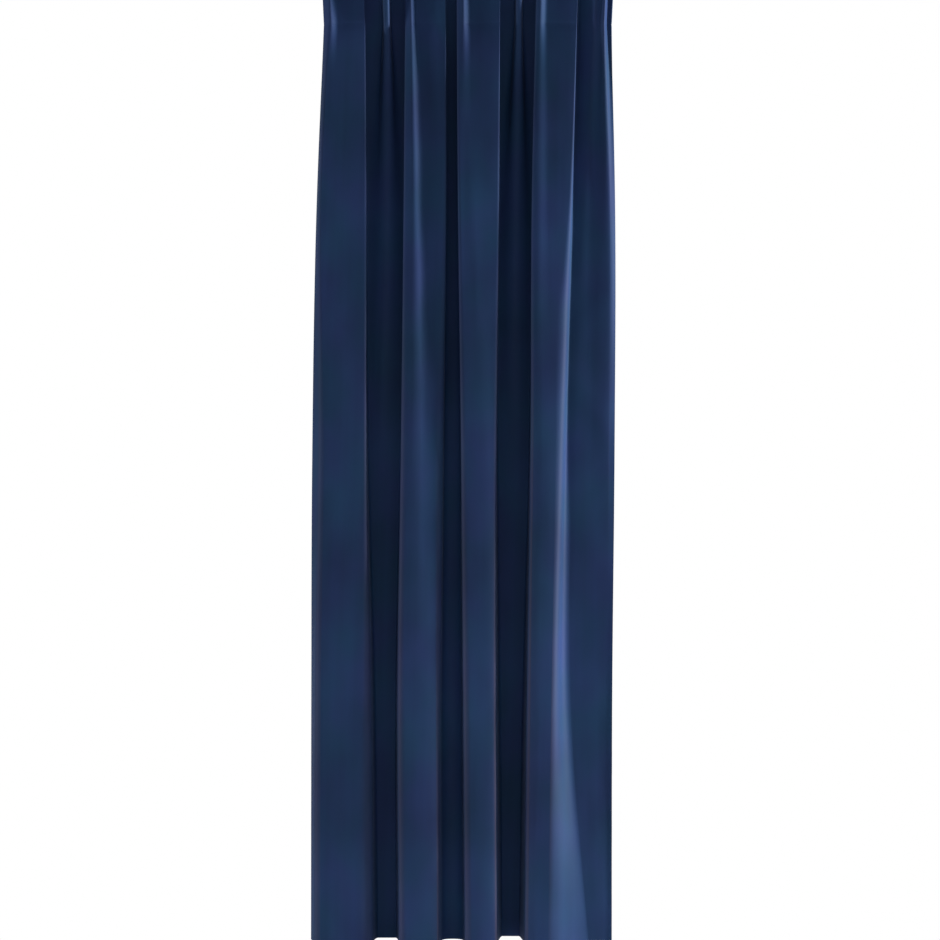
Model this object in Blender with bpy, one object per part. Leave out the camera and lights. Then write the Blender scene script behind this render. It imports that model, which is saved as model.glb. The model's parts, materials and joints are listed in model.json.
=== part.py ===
"""A velvet curtain panel, hanging in soft upright folds from its gathered heading.

One hemmed width of cloth. Its level sections are worked out from the fold tables below, rounded
at every fold edge, and each is deepened until the cloth in it measures the same flat width. The
sections are lofted from the heading down to the hem. +X is to the right, the room is towards -Y,
and the origin is the middle of the top edge, with the cloth hanging down along -Z.
"""

import math
from collections import namedtuple

import bmesh
import bpy
import numpy as np

MM = 0.001

# The finished panel, laid flat.
FLAT_WIDTH = 1.270
FLAT_LENGTH = 2.440

# The cloth, and the turnings sewn to its back along the top and the bottom, which double it.
CLOTH_THICKNESS = 0.0020
TURNED_THICKNESS = 0.0040
HEADING_TURNING = 0.082
BOTTOM_HEM = 0.100
TURNING_STEP = 0.0015

# The front of the folds stands this far before the top edge's middle.
FRONT_PLANE = -0.035

# Above its gathering line the heading spreads a little towards the top edge.
HEADING_SPREAD = 0.010

# The heights at which the fold tables give their values: the gathering line, the stretch where
# the folds settle, the middle, lower down and the hem.
WAIST, UPPER, MIDDLE, LOWER, HEM = -HEADING_TURNING, -0.52, -1.20, -1.80, -FLAT_LENGTH
LEVELS = np.array([HEM, LOWER, MIDDLE, UPPER, WAIST])

# How far round a fold's edge the bend reaches, in mm, at the waist, upper, middle, lower and hem.
EDGE_BEND = (7, 8, 12, 14, 15)
HOLLOW_BEND = (10, 16, 22, 34, 42)
SET_BACK_FOOT_BEND = (5, 5, 9, 45, 60)
CREASE_BEND = (5, 7, 14, 16, 18)
CREASE_HALF_WIDTH = (7, 10, 15, 18, 18)
CREASE_MOST_SHARE = 0.2
PLEAT_HALF_WIDTH = (11, 36, 30, 18, 18)
PLEAT_TOP_SHARE = (0.65, 0.25, 0.25, 0.25, 0.25)
PLEAT_BEND_SHARE = 0.5

# A hollow's floor is wider than its mouth in the heading and narrower low down, by this share of
# its depth on each side.
UNDERCUT = (0.14, 0.09, 0.00, -0.06, -0.09)

# What the gathered heading pinches in relaxes over this length below it, and grows by this share
# towards the top edge.
PINCH_LENGTH = 0.045
PINCH_GROWTH = 0.5

# The folds, left to right, in mm. Each ridge has its left and right edge across the panel, the
# depth of each behind the front plane and the reach of its right bend, at the five heights. The
# crease along its face sits at a share of the way across. The face steps back there as it goes
# right, and bulges forward. The last number is the extra step that the heading pinches in.
Ridge = namedtuple(
    "Ridge", "name left right left_depth right_depth right_bend crease_at step bulge pinch"
)
RIDGES = (
    Ridge(
        name="first",
        left=(-356, -376, -376, -386, -389),
        right=(-259, -255, -255, -245, -241),
        left_depth=(4, 4, 4, 7, 9),
        right_depth=(9, 6, 4, 9, 9),
        right_bend=(2, 8, 9, 22, 30),
        crease_at=(0.17, 0.17, 0.30, 0.32, 0.32),
        step=(0, 0, 0, 0, 0),
        bulge=(0, 0, 1, 2, 1),
        pinch=12,
    ),
    Ridge(
        name="second",
        left=(-158, -161, -168, -175, -171),
        right=(-51, -50, -58, -66, -67),
        left_depth=(15, 3, 0, 0, 0),
        right_depth=(7, 7, 10, 10, 8),
        right_bend=(4, 8, 24, 20, 18),
        crease_at=(0.23, 0.35, 0.50, 0.62, 0.68),
        step=(12, 12, 7, 3, 3),
        bulge=(0, 0, 4, 5, 5),
        pinch=6,
    ),
    Ridge(
        name="third",
        left=(-25, -22, -13, -7, -2),
        right=(87, 86, 79, 77, 80),
        left_depth=(8, 0, 0, 0, 0),
        right_depth=(8, 3, 6, 8, 7),
        right_bend=(2, 8, 9, 9, 9),
        crease_at=(0.23, 0.25, 0.60, 0.70, 0.70),
        step=(2, 0, 1, 2, 3),
        bulge=(0, 0, 4, 4, 4),
        pinch=11,
    ),
    Ridge(
        name="fourth",
        left=(177, 168, 165, 157, 150),
        right=(284, 272, 249, 233, 223),
        left_depth=(8, 0, 0, 4, 4),
        right_depth=(9, 1, 0, 0, 0),
        right_bend=(1, 8, 48, 42, 20),
        crease_at=(0.19, 0.27, 0.36, 0.42, 0.46),
        step=(2, 3, 0, 0, 0),
        bulge=(0, 0, 4, 3, 3),
        pinch=8,
    ),
    Ridge(
        name="set_back",
        left=(287, 275, 256, 250, 307),
        right=(354, 367, 364, 364, 364),
        left_depth=(36, 40, 42, 40, 29),
        right_depth=(4, 31, 40, 41, 30),
        right_bend=(6, 44, 40, 8, 8),
        crease_at=(0.75, 0.45, 0.45, 0.50, 0.50),
        step=(0, 0, 0, 0, 0),
        bulge=(0, 0, 0, 0, 0),
        pinch=5,
    ),
)

# The hollows between the first four ridges, in mm: the floor's depth at the five heights, and a
# pleat that stands up from the floor: its share of the way across, its height at the five
# heights, and the extra height that the heading pinches in.
Hollow = namedtuple("Hollow", "depth pleat_at pleat pinch")
HOLLOWS = (
    Hollow((50, 62, 66, 65, 64), 0.54, (33, 20, 1, 0, 0), 18),
    Hollow((46, 58, 56, 54, 50), 0.50, (0, 0, 0, 0, 0), 0),
    Hollow((54, 72, 82, 84, 84), 0.53, (35, 22, 1, 0, 0), 11),
)

# The free side edges, in mm: across the panel and behind the front plane at the five heights. In
# the heading the right one dips behind itself first and so ends in a lip.
SideEdge = namedtuple("SideEdge", "across depth")
LEFT_EDGE = SideEdge((-366, -384, -397, -400, -401), (26, 28, 38, 46, 46))
RIGHT_EDGE = SideEdge((373, 384, 383, 377, 375), (20, 42, 42, 40, 29))
LIP = (14, 0, 0, 0, 0)
LIP_BEND = 4
LIP_AT = 0.5

# The mesh: how many pieces a fold's bend and a crease's bend are made of, and the rows.
FOLD_PIECES = 3
CREASE_PIECES = 1
ROWS_IN_HEADING = 3
ROWS_BELOW = 15
ROWS_CROWDING = 1.5

# Each section is deepened from this factor, by trial steps, until its length is this close.
FIRST_DEEPENING = 1.2
DEEPENING_STEP = 0.01
LENGTH_TOLERANCE = 0.00002

# A bend takes no more than this share of each run beside it, and inside a fold it reaches at
# least this far.
RUN_SHARE = 0.49
LEAST_REACH = 0.0010

# Past this angle, in radians, an edge of the sheet is sharp.
SHARP_ANGLE = 0.9

CLOTH_COLOUR = (0.0098, 0.0256, 0.0730, 1.0)
CLOTH_ROUGHNESS = 0.85
CLOTH_SHEEN = 0.5


def at_height(values, z):
    """A table's values, joined by a smooth curve down the panel, read at height z."""
    values = np.array(values[::-1], float)
    z = min(z, WAIST)
    slopes = np.gradient(values, LEVELS)
    k = min(max(int(np.searchsorted(LEVELS, z)) - 1, 0), len(LEVELS) - 2)
    span = LEVELS[k + 1] - LEVELS[k]
    t = (z - LEVELS[k]) / span
    return (
        (1 + 2 * t) * (1 - t) ** 2 * values[k]
        + t * (1 - t) ** 2 * span * slopes[k]
        + t * t * (3 - 2 * t) * values[k + 1]
        - t * t * (1 - t) * span * slopes[k + 1]
    )


def pinched(values, pinch, z):
    """A step or a height at z, with what the heading adds to it."""
    if z > WAIST:
        share = 1 + PINCH_GROWTH * (z - WAIST) / HEADING_TURNING
    else:
        share = math.exp((z - WAIST) / PINCH_LENGTH)
    return (at_height(values, z) + pinch * share) * MM


def face_between(left, right, share):
    """The point that far along the straight face between two points."""
    return left[0] + (right[0] - left[0]) * share, left[1] + (right[1] - left[1]) * share


def crease_points(ridge, left, right, z):
    """The two corners of the crease across a ridge's face, which steps back as it goes right."""
    step = pinched(ridge.step, ridge.pinch, z)
    bulge = at_height(ridge.bulge, z) * MM
    across, behind = face_between(left, right, at_height(ridge.crease_at, z))
    half = min(at_height(CREASE_HALF_WIDTH, z) * MM, CREASE_MOST_SHARE * (right[0] - left[0]))
    bend = at_height(CREASE_BEND, z) * MM
    return [
        (across - half, behind - bulge - step / 2, bend, CREASE_PIECES),
        (across + half, behind - bulge + step / 2, bend, CREASE_PIECES),
    ]


def pleat_points(hollow, left, right, z):
    """The corners of the small pleat that stands up from a hollow's floor."""
    height = pinched(hollow.pleat, hollow.pinch, z)
    across, behind = face_between(left, right, hollow.pleat_at)
    foot = at_height(PLEAT_HALF_WIDTH, z) * MM
    top = at_height(PLEAT_TOP_SHARE, z) * foot
    bend = PLEAT_BEND_SHARE * foot
    return [
        (across - foot, behind, bend, CREASE_PIECES),
        (across - top, behind - height, bend, CREASE_PIECES),
        (across + top, behind - height, bend, CREASE_PIECES),
        (across + foot, behind, bend, CREASE_PIECES),
    ]


def side_edge(edge, z, deepening):
    return (at_height(edge.across, z) * MM, at_height(edge.depth, z) * MM * deepening, 0.0, 0)


def control_polygon(z, deepening):
    """The section's corners at height z: across, behind, how far the bend reaches, its pieces."""
    edge_bend = at_height(EDGE_BEND, z) * MM
    hollow_bend = at_height(HOLLOW_BEND, z) * MM
    foot_bend = at_height(SET_BACK_FOOT_BEND, z) * MM
    undercut = at_height(UNDERCUT, z)

    corners = [side_edge(LEFT_EDGE, z, deepening)]
    for number, ridge in enumerate(RIDGES):
        set_back = number == len(RIDGES) - 1
        deepen = deepening if set_back else 1.0
        left = (at_height(ridge.left, z) * MM, at_height(ridge.left_depth, z) * MM * deepen)
        right = (at_height(ridge.right, z) * MM, at_height(ridge.right_depth, z) * MM * deepen)
        corners.append((*left, foot_bend if set_back else edge_bend, FOLD_PIECES))
        corners.extend(crease_points(ridge, left, right, z))
        corners.append((*right, at_height(ridge.right_bend, z) * MM, FOLD_PIECES))
        if number >= len(HOLLOWS):
            continue
        hollow = HOLLOWS[number]
        floor = at_height(hollow.depth, z) * MM * deepening
        floor_left = (right[0] - undercut * floor, floor)
        floor_right = (at_height(RIDGES[number + 1].left, z) * MM + undercut * floor, floor)
        corners.append((*floor_left, hollow_bend, FOLD_PIECES))
        if hollow.pinch:
            corners.extend(pleat_points(hollow, floor_left, floor_right, z))
        corners.append((*floor_right, hollow_bend, FOLD_PIECES))
    end = side_edge(RIGHT_EDGE, z, deepening)
    across, behind = face_between(right, end, LIP_AT)
    corners.append((across, behind + at_height(LIP, z) * MM, LIP_BEND * MM, CREASE_PIECES))
    corners.append(end)
    return corners


def rounded_line(corners, behind):
    """The line that far behind the polygon, its corners rounded, as points from left to right."""
    points = np.array([corner[:2] for corner in corners])
    ways = np.diff(points, axis=0)
    lengths = np.linalg.norm(ways, axis=1)
    ways /= lengths[:, None]
    before, after = ways[:-1], ways[1:]
    spread = 1 + (before * after).sum(axis=1)
    turns = (before[:, 0] * after[:, 1] - before[:, 1] * after[:, 0]) / spread
    middles = np.vstack([ways[:1], (before + after) / spread[:, None], ways[-1:]])
    points += behind * np.stack([-middles[:, 1], middles[:, 0]], axis=1)

    line = [points[0]]
    for k in range(1, len(points) - 1):
        reach, pieces = corners[k][2:]
        inset = behind * turns[k - 1]
        start = max(min(reach, RUN_SHARE * lengths[k - 1]) - inset, LEAST_REACH) * ways[k - 1]
        end = max(min(reach, RUN_SHARE * lengths[k]) - inset, LEAST_REACH) * ways[k]
        for t in np.linspace(0, 1, pieces + 1):
            line.append(points[k] - (1 - t) ** 2 * start + t * t * end)
    line.append(points[-1])
    return np.array(line)


def section_length(section):
    return np.linalg.norm(np.diff(section, axis=0), axis=1).sum()


def hanging_line(z, deepening, behind=0.0):
    """The cloth's line at height z, its folds deepened by a factor, or a line behind it."""
    above_waist = max(z - WAIST, 0.0) / HEADING_TURNING
    spread = np.array([1 + HEADING_SPREAD * above_waist, 1])
    return rounded_line(control_polygon(z, deepening), behind) * spread


def deepening_at(z):
    """How much the folds at height z are deepened, so that they hold the panel's flat width."""
    deepening = FIRST_DEEPENING
    length = section_length(hanging_line(z, deepening))
    while abs(length - FLAT_WIDTH) > LENGTH_TOLERANCE:
        longer = section_length(hanging_line(z, deepening + DEEPENING_STEP))
        deepening += (FLAT_WIDTH - length) * DEEPENING_STEP / (longer - length)
        length = section_length(hanging_line(z, deepening))
    return deepening


def rows():
    """Each row's height and thickness, with a close pair where a turning ends."""
    heading = np.linspace(0, WAIST, ROWS_IN_HEADING + 1)
    drop = (WAIST - TURNING_STEP) - (HEM + BOTTOM_HEM + TURNING_STEP)
    single = WAIST - TURNING_STEP - drop * np.linspace(0, 1, ROWS_BELOW + 1) ** ROWS_CROWDING
    hem = (HEM + BOTTOM_HEM, HEM)
    for z in heading:
        yield z, TURNED_THICKNESS
    for z in single:
        yield z, CLOTH_THICKNESS
    for z in hem:
        yield z, TURNED_THICKNESS


def panel_mesh(name):
    """The closed sheet: a ring of front and back points at each row, lofted from top to hem."""
    solid = bmesh.new()
    rings = []
    for z, thickness in rows():
        deepening = deepening_at(z)
        front = hanging_line(z, deepening)
        back = hanging_line(z, deepening, thickness)
        outline = np.vstack([front, back[::-1]]) + (0, FRONT_PLANE)
        rings.append([solid.verts.new((across, behind, z)) for across, behind in outline])
    count = len(rings[0])
    for upper, lower in zip(rings, rings[1:]):
        for k in range(count):
            following = (k + 1) % count
            solid.faces.new((upper[k], lower[k], lower[following], upper[following]))
    for k in range(count // 2 - 1):
        ends = (k, k + 1, count - 2 - k, count - 1 - k)
        solid.faces.new([rings[0][j] for j in ends])
        solid.faces.new([rings[-1][j] for j in reversed(ends)])
    mesh = bpy.data.meshes.new(name)
    solid.to_mesh(mesh)
    solid.free()
    mesh.shade_smooth()
    mesh.set_sharp_from_angle(angle=SHARP_ANGLE)
    return mesh


def velvet():
    material = bpy.data.materials.new("velvet")
    material.use_nodes = True
    shader = material.node_tree.nodes["Principled BSDF"]
    shader.inputs["Base Color"].default_value = CLOTH_COLOUR
    shader.inputs["Roughness"].default_value = CLOTH_ROUGHNESS
    shader.inputs["Metallic"].default_value = 0.0
    shader.inputs["Sheen Weight"].default_value = CLOTH_SHEEN
    return material


def panel(collection):
    """The hemmed cloth, one solid."""
    mesh = panel_mesh("panel")
    mesh.materials.append(velvet())
    collection.objects.link(bpy.data.objects.new("panel", mesh))


def clear_scene():
    for thing in list(bpy.data.objects):
        bpy.data.objects.remove(thing, do_unlink=True)


def main():
    clear_scene()
    collection = bpy.data.collections.new("velvet_curtain_panel")
    bpy.context.scene.collection.children.link(collection)
    panel(collection)


main()
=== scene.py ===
"""A navy velvet curtain panel, hanging straight in broad folds from its gathered heading.

The cloth is one loft down the panel. Its level sections follow the fold tables below, and each is
deepened until it holds the panel's flat width, so the cloth is never stretched. The hems and the
turned heading lie on its back as strips of the same cloth, with their stitches.
Sizes are metres unless a name or a comment says mm. +X is right, -Y is towards the room.
"""

import functools
import json
import math
from collections import namedtuple

import bmesh
import bpy
import numpy as np
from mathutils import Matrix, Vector

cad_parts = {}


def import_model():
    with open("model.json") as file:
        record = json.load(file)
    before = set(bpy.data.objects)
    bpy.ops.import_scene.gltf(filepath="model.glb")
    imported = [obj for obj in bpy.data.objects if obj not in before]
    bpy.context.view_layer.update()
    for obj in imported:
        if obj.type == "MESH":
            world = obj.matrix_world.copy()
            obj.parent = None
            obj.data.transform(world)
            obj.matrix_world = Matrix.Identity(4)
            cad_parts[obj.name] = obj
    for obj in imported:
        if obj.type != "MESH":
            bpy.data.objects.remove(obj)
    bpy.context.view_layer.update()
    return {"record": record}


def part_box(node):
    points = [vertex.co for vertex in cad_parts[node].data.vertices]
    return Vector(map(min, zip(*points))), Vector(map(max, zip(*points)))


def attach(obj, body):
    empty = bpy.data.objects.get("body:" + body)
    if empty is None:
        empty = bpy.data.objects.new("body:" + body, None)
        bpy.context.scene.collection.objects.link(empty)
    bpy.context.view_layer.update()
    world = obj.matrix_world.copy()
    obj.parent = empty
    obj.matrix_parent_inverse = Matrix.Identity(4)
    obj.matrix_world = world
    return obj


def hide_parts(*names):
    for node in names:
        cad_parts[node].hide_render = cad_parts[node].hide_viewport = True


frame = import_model()

MM = 0.001

# ---------------------------------------------------------------- sizes and fold tables

FLAT_WIDTH = 1.270
LOW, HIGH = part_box("panel")
TOP, HEM = HIGH.z, LOW.z
FRONT_PLANE = -0.035

# The cloth's thickness, what is turned onto its back, and the share by which the heading's top
# edge is wider than its foot.
CLOTH = 0.0016
TURNED_CLOTH = 0.0012
TURNED_GAP = 0.0002
HEADING_TURNING = 0.082
BOTTOM_HEM = 0.100
SIDE_HEM = 0.038
HEADING_SPREAD = 0.010

# The heights at which the fold tables give their values.
WAIST, UPPER, MIDDLE, LOWER = TOP - HEADING_TURNING, TOP - 0.52, TOP - 1.20, TOP - 1.80
LEVELS = np.array([HEM, LOWER, MIDDLE, UPPER, WAIST])

# How far round a fold's edge the bend reaches, in mm, at the waist, upper, middle, lower and hem.
EDGE_BEND = (7, 8, 12, 14, 15)
HOLLOW_BEND = (10, 16, 22, 34, 42)
SET_BACK_FOOT_BEND = (5, 5, 9, 45, 60)
CREASE_BEND = (5, 7, 14, 16, 18)
CREASE_HALF_WIDTH = (7, 10, 15, 18, 18)
CREASE_MOST_SHARE = 0.2
PLEAT_HALF_WIDTH = (11, 36, 30, 18, 18)
PLEAT_TOP_SHARE = (0.65, 0.25, 0.25, 0.25, 0.25)
PLEAT_BEND_SHARE = 0.5

# A hollow's floor is wider than its mouth in the heading and narrower low down, by this share of
# its depth on each side.
UNDERCUT = (0.14, 0.09, 0.00, -0.06, -0.09)

# What the gathered heading pinches in relaxes over this length below it, and grows by this share
# towards the top edge.
PINCH_LENGTH = 0.045
PINCH_GROWTH = 0.5

# The folds, left to right, in mm. Each ridge has its left and right edge across the panel, the
# depth of each behind the front plane and the reach of its right bend, at the five heights. The
# crease along its face sits at a share of the way across. The face steps back there as it goes
# right, and bulges forward. The last number is the extra step that the heading pinches in.
Ridge = namedtuple(
    "Ridge", "name left right left_depth right_depth right_bend crease_at step bulge pinch"
)
RIDGES = (
    Ridge(
        name="first",
        left=(-356, -376, -376, -386, -389),
        right=(-259, -255, -255, -245, -241),
        left_depth=(4, 4, 4, 7, 9),
        right_depth=(9, 6, 4, 9, 9),
        right_bend=(2, 8, 9, 22, 30),
        crease_at=(0.17, 0.17, 0.30, 0.32, 0.32),
        step=(0, 0, 0, 0, 0),
        bulge=(0, 0, 1, 2, 1),
        pinch=12,
    ),
    Ridge(
        name="second",
        left=(-158, -161, -168, -175, -171),
        right=(-51, -50, -58, -66, -67),
        left_depth=(15, 3, 0, 0, 0),
        right_depth=(7, 7, 10, 10, 8),
        right_bend=(4, 8, 24, 20, 18),
        crease_at=(0.23, 0.35, 0.50, 0.62, 0.68),
        step=(12, 12, 7, 3, 3),
        bulge=(0, 0, 4, 5, 5),
        pinch=6,
    ),
    Ridge(
        name="third",
        left=(-25, -22, -13, -7, -2),
        right=(87, 86, 79, 77, 80),
        left_depth=(8, 0, 0, 0, 0),
        right_depth=(8, 3, 6, 8, 7),
        right_bend=(2, 8, 9, 9, 9),
        crease_at=(0.23, 0.25, 0.60, 0.70, 0.70),
        step=(2, 0, 1, 2, 3),
        bulge=(0, 0, 4, 4, 4),
        pinch=11,
    ),
    Ridge(
        name="fourth",
        left=(177, 168, 165, 157, 150),
        right=(284, 272, 249, 233, 223),
        left_depth=(8, 0, 0, 4, 4),
        right_depth=(9, 1, 0, 0, 0),
        right_bend=(1, 8, 48, 42, 20),
        crease_at=(0.19, 0.27, 0.36, 0.42, 0.46),
        step=(2, 3, 0, 0, 0),
        bulge=(0, 0, 4, 3, 3),
        pinch=8,
    ),
    Ridge(
        name="set_back",
        left=(287, 275, 256, 250, 307),
        right=(354, 367, 364, 364, 364),
        left_depth=(36, 40, 42, 40, 29),
        right_depth=(4, 31, 40, 41, 30),
        right_bend=(6, 44, 40, 8, 8),
        crease_at=(0.75, 0.45, 0.45, 0.50, 0.50),
        step=(0, 0, 0, 0, 0),
        bulge=(0, 0, 0, 0, 0),
        pinch=5,
    ),
)

# The hollows between the first four ridges, in mm: the floor's depth at the five heights, and a
# pleat that stands up from the floor: its share of the way across, its height at the five
# heights, and the extra height that the heading pinches in.
Hollow = namedtuple("Hollow", "depth pleat_at pleat pinch")
HOLLOWS = (
    Hollow((50, 62, 66, 65, 64), 0.54, (33, 20, 1, 0, 0), 18),
    Hollow((46, 58, 56, 54, 50), 0.50, (0, 0, 0, 0, 0), 0),
    Hollow((54, 72, 82, 84, 84), 0.53, (35, 22, 1, 0, 0), 11),
)

# The free side edges, in mm: across the panel and behind the front plane at the five heights. In
# the heading the right one dips behind itself first and so ends in a lip.
SideEdge = namedtuple("SideEdge", "across depth")
LEFT_EDGE = SideEdge((-366, -384, -397, -400, -401), (26, 28, 38, 46, 46))
RIGHT_EDGE = SideEdge((373, 384, 383, 377, 375), (20, 42, 42, 40, 29))
LIP = (14, 0, 0, 0, 0)
LIP_BEND = 4
LIP_AT = 0.5

# The cloth is never quite flat. Each wave has its height in mm, its lengths across and down the
# panel in mm, and its start in turns. Its crests drift sideways by a share of a turn, and back,
# over a longer length than its own.
Wave = namedtuple("Wave", "height across down start")
WAVES = (
    Wave(0.9, 310, 660, 0.10),
    Wave(0.5, 190, 410, 0.55),
    Wave(0.25, 95, 270, 0.30),
)
DRIFT = 0.35
DRIFT_LENGTHS = 1.7

# The line of stitches under the heading draws the cloth in.
GROOVE_DEPTH = 0.0009
GROOVE_HALF_WIDTH = 0.005

# The mesh: the pieces in each fold's bend, each crease's bend and each straight run, and the rows.
FOLD_PIECES = 7
CREASE_PIECES = 4
RUN_PIECES = 3
ROWS_IN_HEADING = 20
ROWS_BELOW = 110
ROWS_CROWDING = 1.15
SHARP_ANGLE = math.radians(60)

# Each section is deepened from this factor, by trial steps, until its length is this close.
FIRST_DEEPENING = 1.2
DEEPENING_STEP = 0.01
LENGTH_TOLERANCE = 0.00002

# A bend takes no more than this share of each run beside it, and inside a fold it reaches at
# least this far.
RUN_SHARE = 0.49
LEAST_REACH = 0.0004

# The turned cloth's sewn edge is rounded: its first share of the thickness, and the rows near it,
# in thicknesses. Then the rows and columns in each strip, and the gap at a side hem's ends.
SEWN_EDGE_SHARE = 0.15
SEWN_EDGE_ROWS = (0.0, 0.3, 0.8, 1.5, 2.5)
HEM_ROWS = 9
TURNING_ROWS = 18
SIDE_HEM_ROWS = 90
SIDE_HEM_COLUMNS = 12
SIDE_HEM_GAP = 0.002

# The stitches on the back: how far apart, their length and thread, how far in from the sewn edge,
# and the thread's width at places along the stitch, each as a share of its full size.
STITCH_SPACING = 0.009
STITCH_LENGTH = 0.0045
THREAD = 0.0007
STITCH_INSET = 0.004
STITCH_SIDES = 6
STITCH_WIDTHS = ((-1, 0.35), (-0.6, 1.0), (0.6, 1.0), (1, 0.35))
STITCH_STANDS_OUT = 0.2
STITCHES_BEHIND = CLOTH + TURNED_GAP + TURNED_CLOTH + STITCH_STANDS_OUT * THREAD

# The painted sheen on the folds' front edges is full where the front turns this sharply, in radians
# per metre, and is least in the upper part.
SHEEN_FULL_BEND = 160.0
LEAST_SHEEN = 0.12


# ---------------------------------------------------------------- the hanging section

def at_height(values, z):
    """A table's values, joined by a smooth curve down the panel, read at height z."""
    values = np.array(values[::-1], float)
    z = min(z, WAIST)
    slopes = np.gradient(values, LEVELS)
    k = min(max(int(np.searchsorted(LEVELS, z)) - 1, 0), len(LEVELS) - 2)
    span = LEVELS[k + 1] - LEVELS[k]
    t = (z - LEVELS[k]) / span
    return (
        (1 + 2 * t) * (1 - t) ** 2 * values[k]
        + t * (1 - t) ** 2 * span * slopes[k]
        + t * t * (3 - 2 * t) * values[k + 1]
        - t * t * (1 - t) * span * slopes[k + 1]
    )


def pinched(values, pinch, z):
    """A step or a height at z, with what the heading adds to it."""
    if z > WAIST:
        share = 1 + PINCH_GROWTH * (z - WAIST) / HEADING_TURNING
    else:
        share = math.exp((z - WAIST) / PINCH_LENGTH)
    return (at_height(values, z) + pinch * share) * MM


def face_between(left, right, share):
    """The point that far along the straight face between two points."""
    return left[0] + (right[0] - left[0]) * share, left[1] + (right[1] - left[1]) * share


def crease_points(ridge, left, right, z):
    """The two corners of the crease across a ridge's face, which steps back as it goes right."""
    step = pinched(ridge.step, ridge.pinch, z)
    bulge = at_height(ridge.bulge, z) * MM
    across, behind = face_between(left, right, at_height(ridge.crease_at, z))
    half = min(at_height(CREASE_HALF_WIDTH, z) * MM, CREASE_MOST_SHARE * (right[0] - left[0]))
    bend = at_height(CREASE_BEND, z) * MM
    return [
        (across - half, behind - bulge - step / 2, bend, CREASE_PIECES),
        (across + half, behind - bulge + step / 2, bend, CREASE_PIECES),
    ]


def pleat_points(hollow, left, right, z):
    """The corners of the small pleat that stands up from a hollow's floor."""
    height = pinched(hollow.pleat, hollow.pinch, z)
    across, behind = face_between(left, right, hollow.pleat_at)
    foot = at_height(PLEAT_HALF_WIDTH, z) * MM
    top = at_height(PLEAT_TOP_SHARE, z) * foot
    bend = PLEAT_BEND_SHARE * foot
    return [
        (across - foot, behind, bend, CREASE_PIECES),
        (across - top, behind - height, bend, CREASE_PIECES),
        (across + top, behind - height, bend, CREASE_PIECES),
        (across + foot, behind, bend, CREASE_PIECES),
    ]


def side_edge(edge, z, deepening):
    """A free side edge at height z, as a corner with no bend."""
    return (at_height(edge.across, z) * MM, at_height(edge.depth, z) * MM * deepening, 0.0, 0)


def control_polygon(z, deepening):
    """The section's corners at height z: across, behind, how far the bend reaches, its pieces."""
    edge_bend = at_height(EDGE_BEND, z) * MM
    hollow_bend = at_height(HOLLOW_BEND, z) * MM
    foot_bend = at_height(SET_BACK_FOOT_BEND, z) * MM
    undercut = at_height(UNDERCUT, z)

    corners = [side_edge(LEFT_EDGE, z, deepening)]
    for number, ridge in enumerate(RIDGES):
        set_back = number == len(RIDGES) - 1
        deepen = deepening if set_back else 1.0
        left = (at_height(ridge.left, z) * MM, at_height(ridge.left_depth, z) * MM * deepen)
        right = (at_height(ridge.right, z) * MM, at_height(ridge.right_depth, z) * MM * deepen)
        corners.append((*left, foot_bend if set_back else edge_bend, FOLD_PIECES))
        corners.extend(crease_points(ridge, left, right, z))
        corners.append((*right, at_height(ridge.right_bend, z) * MM, FOLD_PIECES))
        if number >= len(HOLLOWS):
            continue
        hollow = HOLLOWS[number]
        floor = at_height(hollow.depth, z) * MM * deepening
        floor_left = (right[0] - undercut * floor, floor)
        floor_right = (at_height(RIDGES[number + 1].left, z) * MM + undercut * floor, floor)
        corners.append((*floor_left, hollow_bend, FOLD_PIECES))
        if hollow.pinch:
            corners.extend(pleat_points(hollow, floor_left, floor_right, z))
        corners.append((*floor_right, hollow_bend, FOLD_PIECES))
    end = side_edge(RIGHT_EDGE, z, deepening)
    across, behind = face_between(right, end, LIP_AT)
    corners.append((across, behind + at_height(LIP, z) * MM, LIP_BEND * MM, CREASE_PIECES))
    corners.append(end)
    return corners


def run_points(start, end):
    """The points between the ends of a straight run, without its start."""
    shares = np.arange(1, RUN_PIECES + 1)[:, None] / RUN_PIECES
    return list(start + (end - start) * shares)


def rounded_line(corners, behind):
    """The line that far behind the polygon, its corners rounded, as points from left to right."""
    points = np.array([corner[:2] for corner in corners])
    ways = np.diff(points, axis=0)
    lengths = np.linalg.norm(ways, axis=1)
    ways /= lengths[:, None]
    before, after = ways[:-1], ways[1:]
    spread = 1 + (before * after).sum(axis=1)
    turns = (before[:, 0] * after[:, 1] - before[:, 1] * after[:, 0]) / spread
    middles = np.vstack([ways[:1], (before + after) / spread[:, None], ways[-1:]])
    points += behind * np.stack([-middles[:, 1], middles[:, 0]], axis=1)

    line = [points[0]]
    for k in range(1, len(points) - 1):
        reach, pieces = corners[k][2:]
        inset = behind * turns[k - 1]
        start = max(min(reach, RUN_SHARE * lengths[k - 1]) - inset, LEAST_REACH) * ways[k - 1]
        end = max(min(reach, RUN_SHARE * lengths[k]) - inset, LEAST_REACH) * ways[k]
        line.extend(run_points(line[-1], points[k] - start))
        for t in np.linspace(0, 1, pieces + 1)[1:]:
            line.append(points[k] - (1 - t) ** 2 * start + t * t * end)
    line.extend(run_points(line[-1], points[-1]))
    return np.array(line)


def section_length(section):
    return np.linalg.norm(np.diff(section, axis=0), axis=1).sum()


def flat_positions(section):
    """How far each of the section's points is from its left edge, along the cloth."""
    runs = np.linalg.norm(np.diff(section, axis=0), axis=1)
    return np.concatenate([[0.0], np.cumsum(runs)])


def read_across(line, along, places):
    """A line's points at flat positions across the cloth, where its own lie at those in along."""
    return np.stack([np.interp(places, along, line[:, axis]) for axis in (0, 1)], axis=-1)


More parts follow.
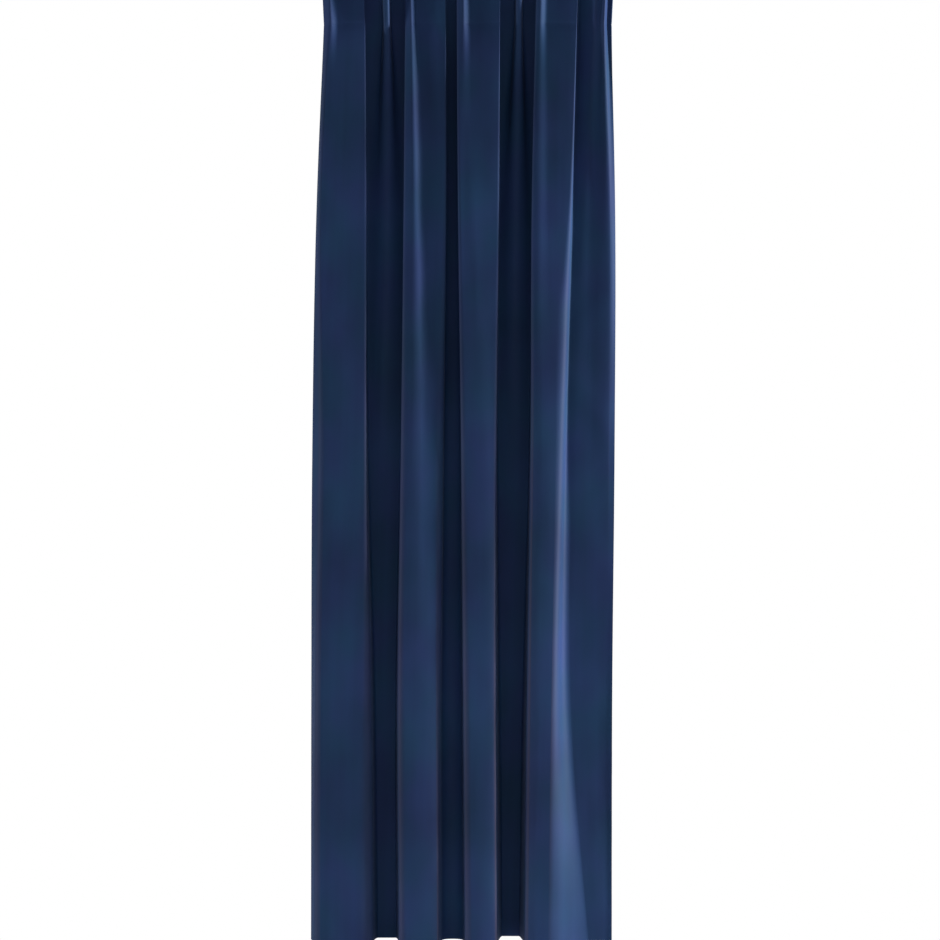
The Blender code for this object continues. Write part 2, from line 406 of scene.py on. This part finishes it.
def hanging_line(z, deepening, behind=0.0):
    """The cloth's line at height z, its folds deepened by a factor, or a line behind it."""
    above_waist = max(z - WAIST, 0.0) / HEADING_TURNING
    spread = np.array([1 + HEADING_SPREAD * above_waist, 1])
    return rounded_line(control_polygon(z, deepening), behind) * spread


def unevenness(section, z):
    """How far the section's points stand behind the even cloth, from the waves and the stitches."""
    turn = 2 * math.pi
    behind = GROOVE_DEPTH * math.exp(-(((z - WAIST) / GROOVE_HALF_WIDTH) ** 2))
    for wave in WAVES:
        drift = DRIFT * math.sin(turn * (z / (DRIFT_LENGTHS * wave.down * MM) + wave.start))
        across = np.sin(turn * (section[:, 0] / (wave.across * MM) + wave.start + drift))
        behind = behind + wave.height * MM * across * math.cos(turn * z / (wave.down * MM))
    return behind


@functools.cache
def deepening_at(z):
    """How much the folds at height z are deepened, so that they hold the panel's flat width."""
    deepening = FIRST_DEEPENING
    length = section_length(hanging_line(z, deepening))
    while abs(length - FLAT_WIDTH) > LENGTH_TOLERANCE:
        longer = section_length(hanging_line(z, deepening + DEEPENING_STEP))
        deepening += (FLAT_WIDTH - length) * DEEPENING_STEP / (longer - length)
        length = section_length(hanging_line(z, deepening))
    return deepening


@functools.cache
def section_at(z, behind=0.0):
    """The cloth's front line at height z, or the line that far behind it."""
    front = hanging_line(z, deepening_at(z))
    line = hanging_line(z, deepening_at(z), behind)
    line[:, 1] += FRONT_PLANE + unevenness(front, z)
    return line


# ---------------------------------------------------------------- materials

COLOUR = frame["record"]["materials"][0]["base_color"]

# The pile's colour drifts this far to either side of its own, in red, green and blue.
HUE_DRIFT = (0.0014, -0.0019, 0.0034)

PILE_ROUGHNESS = 0.62
SHEEN_WEIGHT = 0.05
SHEEN_ROUGHNESS = 0.30
SHEEN_TINT = (0.50, 0.62, 1.0, 1)
# The lighter, greyer colour mixed onto the folds' front edges: a painted sheen.
PAINTED_SHEEN_COLOUR = (0.027, 0.026, 0.050, 1)

# The pile's specular level on the face, and on the turned cloth, which lamps from the side graze.
FACE_GLOSS = 0.06
TURNED_GLOSS = 0.0

# The nap: how much each kind of variation changes the brightness, its repeats per metre across
# and down the cloth, and its noise's detail.
Nap = namedtuple("Nap", "name amount across down detail")
NAPS = (
    Nap("brushed", 0.50, 7.0, 4.5, 2.0),
    Nap("streaks", 0.22, 55.0, 1.6, 1.0),
    Nap("pile", 0.36, 900.0, 900.0, 1.0),
)

# Patches of hue, which leave the brightness alone. The drift is full to one side where their noise
# is below HUE_FROM, and full to the other where it is above 1 - HUE_FROM.
HUE_PATCHES = Nap("hue", 0.0, 9.0, 5.0, 2.0)
HUE_FROM = 0.33

# Soft level bands: their share of the brightness, their height in metres, and how they wander.
BAND_SHARE = 0.20
BAND_PERIOD = 0.59
BAND_START = 3.0
BAND_WANDER = 1.2

# The strength and the depth in metres of each bump.
PILE_BUMP = (0.10, 0.0005)
WEAVE_BUMP = (0.35, 0.0002)

# The ground cloth on the back, and the thread. The warp and weft add up to a number from 0 to 2,
# and this much is taken from it to mix the back's two colours.
BACK_ROUGHNESS = 0.95
WEAVE_PER_METRE = 800.0
WEAVE_WANDER = 0.4
WEAVE_LESS = 0.5
FADED = Nap("faded", 0.6, 5.0, 4.0, 3.0)
BACK_DARK = (0.011, 0.021, 0.050, 1)
BACK_LIGHT = (0.023, 0.038, 0.078, 1)
THREAD_ROUGHNESS = 0.45
THREAD_DARK = (0.030, 0.045, 0.100, 1)
THREAD_LIGHT = (0.065, 0.085, 0.160, 1)
TWISTS = 900.0

# The scale at which a wave texture repeats once a metre.
WAVE_SCALE = 2 * math.pi / 20


def new_material(name, roughness):
    material = bpy.data.materials.new(name)
    material.use_nodes = True
    shader = material.node_tree.nodes["Principled BSDF"]
    shader.inputs["Roughness"].default_value = roughness
    return material, material.node_tree.nodes, material.node_tree.links, shader


def bands_along(nodes, links, direction, per_metre, distortion, start):
    """Even bands along the flat cloth, as a number from 0 to 1."""
    flat = nodes.new("ShaderNodeUVMap")
    flat.uv_map = "flat"
    wave = nodes.new("ShaderNodeTexWave")
    wave.bands_direction = direction
    wave.inputs["Scale"].default_value = per_metre * WAVE_SCALE
    wave.inputs["Distortion"].default_value = distortion
    wave.inputs["Phase Offset"].default_value = start
    links.new(flat.outputs["UV"], wave.inputs["Vector"])
    return wave.outputs["Fac"]


def scaled(nodes, links, value, amount, offset):
    """A value times an amount, plus an offset."""
    scaling = nodes.new("ShaderNodeMath")
    scaling.operation = "MULTIPLY_ADD"
    scaling.inputs[1].default_value = amount
    scaling.inputs[2].default_value = offset
    links.new(value, scaling.inputs[0])
    return scaling.outputs[0]


def flat_noise(nodes, links, nap):
    """Noise laid along the flat cloth, as a number from 0 to 1."""
    flat = nodes.new("ShaderNodeUVMap")
    flat.uv_map = "flat"
    scale = nodes.new("ShaderNodeMapping")
    scale.inputs["Scale"].default_value = (nap.across, nap.down, 1)
    noise = nodes.new("ShaderNodeTexNoise")
    noise.inputs["Scale"].default_value = 1.0
    noise.inputs["Detail"].default_value = nap.detail
    links.new(flat.outputs["UV"], scale.inputs["Vector"])
    links.new(scale.outputs["Vector"], noise.inputs["Vector"])
    return noise.outputs["Fac"]


def about_zero(nodes, links, noise, nap):
    """The nap's noise, scaled to its amount and centred on zero."""
    return scaled(nodes, links, noise, nap.amount, -nap.amount / 2)


def added(nodes, links, first, second):
    """The sum of two values, the second of which may be a plain number."""
    total = nodes.new("ShaderNodeMath")
    total.operation = "ADD"
    links.new(first, total.inputs[0])
    if isinstance(second, float):
        total.inputs[1].default_value = second
    else:
        links.new(second, total.inputs[1])
    return total.outputs[0]


def bumped(nodes, links, shader, height, bump):
    strength, distance = bump
    relief = nodes.new("ShaderNodeBump")
    relief.inputs["Strength"].default_value = strength
    relief.inputs["Distance"].default_value = distance
    links.new(height, relief.inputs["Height"])
    links.new(relief.outputs["Normal"], shader.inputs["Normal"])


def drifting_hue(nodes, links):
    """The pile's own colour, a little warmer in some patches and greener in others."""
    share = nodes.new("ShaderNodeMapRange")
    share.inputs["From Min"].default_value = HUE_FROM
    share.inputs["From Max"].default_value = 1 - HUE_FROM
    links.new(flat_noise(nodes, links, HUE_PATCHES), share.inputs["Value"])
    hue = nodes.new("ShaderNodeMixRGB")
    for name, side in (("Color1", -1), ("Color2", 1)):
        tint = [own + side * drift for own, drift in zip(COLOUR, HUE_DRIFT)]
        hue.inputs[name].default_value = (*tint, 1)
    links.new(share.outputs["Result"], hue.inputs["Fac"])
    return hue.outputs["Color"]


def velvet(name, gloss):
    """Navy pile: nearly matt face on, brighter where it turns away, with an uneven nap."""
    material, nodes, links, shader = new_material(name, PILE_ROUGHNESS)
    shader.inputs["Specular IOR Level"].default_value = gloss
    shader.inputs["Sheen Weight"].default_value = SHEEN_WEIGHT
    shader.inputs["Sheen Roughness"].default_value = SHEEN_ROUGHNESS
    shader.inputs["Sheen Tint"].default_value = SHEEN_TINT

    bands = bands_along(nodes, links, "Y", 1 / BAND_PERIOD, BAND_WANDER, BAND_START)
    brightness = scaled(nodes, links, bands, BAND_SHARE, 1 - BAND_SHARE / 2)
    for nap in NAPS:
        grain = flat_noise(nodes, links, nap)
        brightness = added(nodes, links, brightness, about_zero(nodes, links, grain, nap))
    # Painted sheen: the folds' front edges are mixed towards a lighter, greyer colour.
    painted_sheen = nodes.new("ShaderNodeAttribute")
    painted_sheen.attribute_name = "painted_sheen"
    colour = nodes.new("ShaderNodeMixRGB")
    colour.inputs["Color2"].default_value = PAINTED_SHEEN_COLOUR
    links.new(painted_sheen.outputs["Fac"], colour.inputs["Fac"])
    links.new(drifting_hue(nodes, links), colour.inputs["Color1"])
    napped = nodes.new("ShaderNodeVectorMath")
    napped.operation = "SCALE"
    links.new(colour.outputs["Color"], napped.inputs[0])
    links.new(brightness, napped.inputs["Scale"])
    links.new(napped.outputs["Vector"], shader.inputs["Base Color"])
    bumped(nodes, links, shader, grain, PILE_BUMP)
    return material


def woven_back():
    """The velvet's ground cloth, which shows on the back: a plain weave, duller and greyer."""
    material, nodes, links, shader = new_material("velvet_back", BACK_ROUGHNESS)
    shader.inputs["Specular IOR Level"].default_value = 0.0
    warp = bands_along(nodes, links, "X", WEAVE_PER_METRE, WEAVE_WANDER, 0.0)
    weft = bands_along(nodes, links, "Y", WEAVE_PER_METRE, WEAVE_WANDER, 0.0)
    threads = added(nodes, links, warp, weft)
    faded = about_zero(nodes, links, flat_noise(nodes, links, FADED), FADED)
    share = added(nodes, links, added(nodes, links, threads, -WEAVE_LESS), faded)
    colour = nodes.new("ShaderNodeMixRGB")
    colour.inputs["Color1"].default_value = BACK_DARK
    colour.inputs["Color2"].default_value = BACK_LIGHT
    colour.use_clamp = True
    links.new(share, colour.inputs["Fac"])
    links.new(colour.outputs["Color"], shader.inputs["Base Color"])
    bumped(nodes, links, shader, threads, WEAVE_BUMP)
    return material


def sewing_thread():
    """Twisted navy thread, a little lighter than the cloth."""
    material, nodes, links, shader = new_material("sewing_thread", THREAD_ROUGHNESS)
    twist = nodes.new("ShaderNodeTexWave")
    twist.bands_direction = "DIAGONAL"
    twist.inputs["Scale"].default_value = TWISTS
    place = nodes.new("ShaderNodeTexCoord")
    colour = nodes.new("ShaderNodeMixRGB")
    colour.inputs["Color1"].default_value = THREAD_DARK
    colour.inputs["Color2"].default_value = THREAD_LIGHT
    links.new(place.outputs["Object"], twist.inputs["Vector"])
    links.new(twist.outputs["Fac"], colour.inputs["Fac"])
    links.new(colour.outputs["Color"], shader.inputs["Base Color"])
    return material


# ---------------------------------------------------------------- the cloth

def row_heights():
    """The heights of the cloth's rows: even in the heading, and closer just below it."""
    heading = np.linspace(TOP, WAIST, ROWS_IN_HEADING + 1)
    shares = np.linspace(0, 1, ROWS_BELOW + 1)[1:] ** ROWS_CROWDING
    return np.concatenate([heading, WAIST - (WAIST - HEM) * shares])


def lofted(name, rows, materials):
    """A closed sheet through level rows, each (height, front points, back points, flat positions).

    The faces of the front line take the first material and the rest take the last.
    """
    solid = bmesh.new()
    flat = solid.loops.layers.uv.new("flat")
    rings, places = [], []
    for z, front, back, along in rows:
        outline = np.vstack([front, back[::-1]])
        rings.append([solid.verts.new((across, behind, z)) for across, behind in outline])
        places.append(np.concatenate([along, along[::-1]]))
    count = len(rings[0])
    half = count // 2
    for row in range(len(rings) - 1):
        for k in range(count):
            following = (k + 1) % count
            corners = ((row, k), (row + 1, k), (row + 1, following), (row, following))
            face = solid.faces.new([rings[r][j] for r, j in corners])
            face.material_index = 0 if k < half - 1 else len(materials) - 1
            for loop, (r, j) in zip(face.loops, corners):
                loop[flat].uv = (places[r][j], rows[r][0])
    for k in range(half - 1):
        ends = (k, k + 1, count - 2 - k, count - 1 - k)
        solid.faces.new([rings[0][j] for j in ends])
        solid.faces.new([rings[-1][j] for j in reversed(ends)])
    mesh = bpy.data.meshes.new(name)
    solid.to_mesh(mesh)
    solid.free()
    mesh.shade_smooth()
    mesh.set_sharp_from_angle(angle=SHARP_ANGLE)
    for material in materials:
        mesh.materials.append(material)
    piece = bpy.data.objects.new(name, mesh)
    bpy.context.scene.collection.objects.link(piece)
    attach(piece, "root")
    return piece


def turning(section):
    """How sharply the section turns forward at each point, from 0 on flat cloth to 1."""
    runs = np.diff(section, axis=0)
    angles = np.unwrap(np.arctan2(runs[:, 1], runs[:, 0]))
    lengths = np.linalg.norm(runs, axis=1)
    bends = np.zeros(len(section))
    bends[1:-1] = np.diff(angles) / ((lengths[1:] + lengths[:-1]) / 2)
    return np.clip(bends / SHEEN_FULL_BEND, 0, 1)


def paint_edge_sheen(piece, heights, sections):
    """Marks the front edges of the folds for a painted sheen, more so lower down."""
    painted_sheen = piece.data.attributes.new("painted_sheen", "FLOAT", "POINT")
    amounts = []
    for z, section in zip(heights, sections):
        sheen_share = min(max((UPPER - z) / (UPPER - LOWER), LEAST_SHEEN), 1.0)
        amounts.extend(turning(section) * sheen_share)
        amounts.extend(np.zeros(len(section)))
    painted_sheen.data.foreach_set("value", np.array(amounts, np.float32))


def cloth(heights, materials):
    sections = [section_at(z) for z in heights]
    rows = []
    for z, section in zip(heights, sections):
        rows.append((z, section, section_at(z, CLOTH), flat_positions(section)))
    piece = lofted("curtain_cloth", rows, materials)
    paint_edge_sheen(piece, heights, sections)
    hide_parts("panel")
    return piece


# ---------------------------------------------------------------- hems and turnings on the back

def rounded_edge(distance):
    """The share of a turned strip's thickness that far in from its sewn edge."""
    inwards = min(max(distance, 0.0) / (2 * TURNED_CLOTH), 1.0)
    return SEWN_EDGE_SHARE + (1 - SEWN_EDGE_SHARE) * math.sqrt(1 - (1 - inwards) ** 2)


def strip(name, heights, thicknesses, places, material):
    """Turned cloth on the back, at each height, at some flat positions or across the panel."""
    rows = []
    for z, thickness in zip(heights, thicknesses):
        along = flat_positions(section_at(z))
        lines = []
        for distance in (CLOTH + TURNED_GAP, CLOTH + TURNED_GAP + thickness):
            line = section_at(z, distance)
            lines.append(line if places is None else read_across(line, along, places))
        rows.append((z, *lines, along if places is None else places))
    piece = lofted(name, rows, (material,))
    return piece


def strip_heights(start, end, count, sewn_end):
    """Heights down a strip, closer together at its sewn edge, with its thickness at each."""
    close = TURNED_CLOTH * np.array(SEWN_EDGE_ROWS)
    if sewn_end == "top":
        heights = np.concatenate([start - close, np.linspace(start, end, count + 1)[1:]])
        sewn = start
    else:
        heights = np.concatenate([np.linspace(start, end, count + 1)[:-1], end + close[::-1]])
        sewn = end
    return heights, [TURNED_CLOTH * rounded_edge(abs(z - sewn)) for z in heights]


def hems(material):
    """The bottom hem, the heading turning and, between them, the side hems."""
    low, low_thick = strip_heights(HEM + BOTTOM_HEM, HEM, HEM_ROWS, "top")
    top, top_thick = strip_heights(TOP, WAIST, TURNING_ROWS, "bottom")
    side = np.linspace(WAIST - SIDE_HEM_GAP, HEM + BOTTOM_HEM + SIDE_HEM_GAP, SIDE_HEM_ROWS)
    side_thick = [TURNED_CLOTH] * SIDE_HEM_ROWS
    left = np.linspace(0, SIDE_HEM, SIDE_HEM_COLUMNS)
    right = np.linspace(FLAT_WIDTH - SIDE_HEM, FLAT_WIDTH, SIDE_HEM_COLUMNS)
    return [
        strip("bottom_hem", low, low_thick, None, material),
        strip("heading_turning", top, top_thick, None, material),
        strip("side_hem_left", side, side_thick, left, material),
        strip("side_hem_right", side, side_thick, right, material),
    ]


def add_stitch(solid, middle, along):
    """One stitch of thread, a rod with tapered ends, lying along a direction."""
    along = along.normalized() * STITCH_LENGTH / 2
    side = along.orthogonal().normalized()
    other = along.cross(side).normalized()
    rings = []
    for place, width in STITCH_WIDTHS:
        ring = []
        for k in range(STITCH_SIDES):
            angle = 2 * math.pi * k / STITCH_SIDES
            outward = (side * math.cos(angle) + other * math.sin(angle)) * width * THREAD / 2
            ring.append(solid.verts.new(middle + along * place + outward))
        rings.append(ring)
    for near, far in zip(rings, rings[1:]):
        for k in range(STITCH_SIDES):
            following = (k + 1) % STITCH_SIDES
            solid.faces.new((near[k], near[following], far[following], far[k]))
    solid.faces.new(rings[0][::-1])
    solid.faces.new(rings[-1])


def stitch_row(solid, z):
    """Stitches across the whole panel on the back of its turned cloth, at one height."""
    line = section_at(z, STITCHES_BEHIND)
    along = flat_positions(section_at(z))
    for place in np.arange(STITCH_SPACING, FLAT_WIDTH - STITCH_SPACING, STITCH_SPACING):
        ends = [place - STITCH_LENGTH / 2, place + STITCH_LENGTH / 2]
        start, end = (Vector((*point, z)) for point in read_across(line, along, ends))
        add_stitch(solid, (start + end) / 2, end - start)


def stitch_column(solid, place):
    """Stitches down a side hem, at one flat position."""
    heights = np.arange(WAIST - STITCH_SPACING, HEM + BOTTOM_HEM + STITCH_SPACING, -STITCH_SPACING)
    points = []
    for z in heights:
        along = flat_positions(section_at(z))
        across, behind = read_across(section_at(z, STITCHES_BEHIND), along, place)
        points.append(Vector((across, behind, z)))
    for before, middle in zip(points, points[1:]):
        add_stitch(solid, middle, middle - before)


def stitches(material):
    """All the stitches as one piece: two rows across and two columns down."""
    solid = bmesh.new()
    stitch_row(solid, HEM + BOTTOM_HEM - STITCH_INSET)
    stitch_row(solid, WAIST + STITCH_INSET)
    stitch_column(solid, SIDE_HEM - STITCH_INSET)
    stitch_column(solid, FLAT_WIDTH - SIDE_HEM + STITCH_INSET)
    mesh = bpy.data.meshes.new("hem_stitches")
    solid.to_mesh(mesh)
    solid.free()
    mesh.shade_smooth()
    mesh.materials.append(material)
    piece = bpy.data.objects.new("hem_stitches", mesh)
    bpy.context.scene.collection.objects.link(piece)
    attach(piece, "root")
    return piece


def curtain():
    """The sheet with everything that is turned onto its back."""
    panel = cloth(row_heights(), (velvet("velvet", FACE_GLOSS), woven_back()))
    sewn_on = hems(velvet("velvet_turned", TURNED_GLOSS)) + [stitches(sewing_thread())]


# ---------------------------------------------------------------- floor, light and camera

# The camera's distance from the front plane and its scale there, and how far its level line of
# sight lies below the top edge and to the right of the middle.
VIEW_DISTANCE = 8.4
PIXELS_PER_METRE = 390.0
IMAGE_SIDE = 940
SENSOR = 36.0
CLIP_END = 100
EYE_DROP = 1.2275
EYE_ACROSS = 0.010

# The floor is a disc below the hem, which ends FLOOR_BACK behind the panel's middle.
FLOOR_RADIUS = 1.6
FLOOR_SEGMENTS = 96
FLOOR_GAP = 0.02
FLOOR_BACK = 0.10
FLOOR_ROUGHNESS = 0.9
FLOOR_COLOUR = (0.9, 0.9, 0.9, 1)

# The lamps: where each stands, as its angle round from straight in front (to the right), its
# distance, its height above the hem, its width and height, and its power and colour. The back
# lamp only lights the back.
Lamp = namedtuple("Lamp", "name angle distance height width tall power colour")
LAMPS = (
    Lamp("key", 87.0, 4.0, 1.56, 0.40, 2.6, 600, (1.0, 0.97, 0.93)),
    Lamp("rim", -83.0, 4.0, 1.05, 0.40, 2.2, 112, (1.0, 0.96, 0.93)),
    Lamp("front", 12.0, 2.6, 1.55, 6.0, 2.4, 31, (1.0, 0.98, 0.98)),
    Lamp("back", 180.0, 3.0, 1.40, 4.0, 2.4, 45, (1.0, 0.98, 0.97)),
)
AMBIENT = 0.315
AMBIENT_COLOUR = (1.0, 0.96, 0.95, 1)


def camera():
    """A level camera, straight in front."""
    data = bpy.data.cameras.new("camera")
    data.sensor_width = SENSOR
    data.lens = SENSOR * PIXELS_PER_METRE * VIEW_DISTANCE / IMAGE_SIDE
    data.clip_end = CLIP_END
    eye = bpy.data.objects.new("camera", data)
    bpy.context.scene.collection.objects.link(eye)
    eye.location = (EYE_ACROSS, FRONT_PLANE - VIEW_DISTANCE, TOP - EYE_DROP)
    eye.rotation_euler = (math.pi / 2, 0, 0)
    bpy.context.scene.camera = eye


def area_light(lamp):
    """A rectangular lamp, unseen by the camera, that faces the panel's front plane."""
    data = bpy.data.lights.new(lamp.name, "AREA")
    data.shape = "RECTANGLE"
    data.size, data.size_y = lamp.width, lamp.tall
    data.energy = lamp.power
    data.color = lamp.colour
    light = bpy.data.objects.new(lamp.name, data)
    bpy.context.scene.collection.objects.link(light)
    angle = math.radians(lamp.angle)
    offset = Vector((math.sin(angle), -math.cos(angle), 0)) * lamp.distance
    target = Vector((0, FRONT_PLANE, HEM + lamp.height))
    light.location = target + offset
    light.rotation_euler = (-offset).to_track_quat("-Z", "Y").to_euler()
    light.visible_camera = False


def background(nodes, colour, strength):
    shade = nodes.new("ShaderNodeBackground")
    shade.inputs["Color"].default_value = colour
    shade.inputs["Strength"].default_value = strength
    return shade.outputs[0]


def world():
    """A white surround that lights the cloth more softly than it shows."""
    surround = bpy.data.worlds.new("studio")
    surround.use_nodes = True
    nodes, links = surround.node_tree.nodes, surround.node_tree.links
    seen = nodes.new("ShaderNodeLightPath")
    mix = nodes.new("ShaderNodeMixShader")
    links.new(seen.outputs["Is Camera Ray"], mix.inputs[0])
    links.new(background(nodes, AMBIENT_COLOUR, AMBIENT), mix.inputs[1])
    links.new(background(nodes, (1, 1, 1, 1), 1.0), mix.inputs[2])
    links.new(mix.outputs[0], nodes["World Output"].inputs["Surface"])
    bpy.context.scene.world = surround
    bpy.context.scene.view_settings.view_transform = "Standard"


def floor():
    mesh = bpy.data.meshes.new("floor")
    slab = bmesh.new()
    bmesh.ops.create_circle(slab, cap_ends=True, radius=FLOOR_RADIUS, segments=FLOOR_SEGMENTS)
    slab.to_mesh(mesh)
    slab.free()
    ground = bpy.data.objects.new("floor", mesh)
    ground.location = (0, FLOOR_BACK - FLOOR_RADIUS, HEM - FLOOR_GAP)
    material, *_, shader = new_material("floor", FLOOR_ROUGHNESS)
    shader.inputs["Base Color"].default_value = FLOOR_COLOUR
    mesh.materials.append(material)
    bpy.context.scene.collection.objects.link(ground)


curtain()
floor()
for lamp in LAMPS:
    area_light(lamp)
world()
camera()
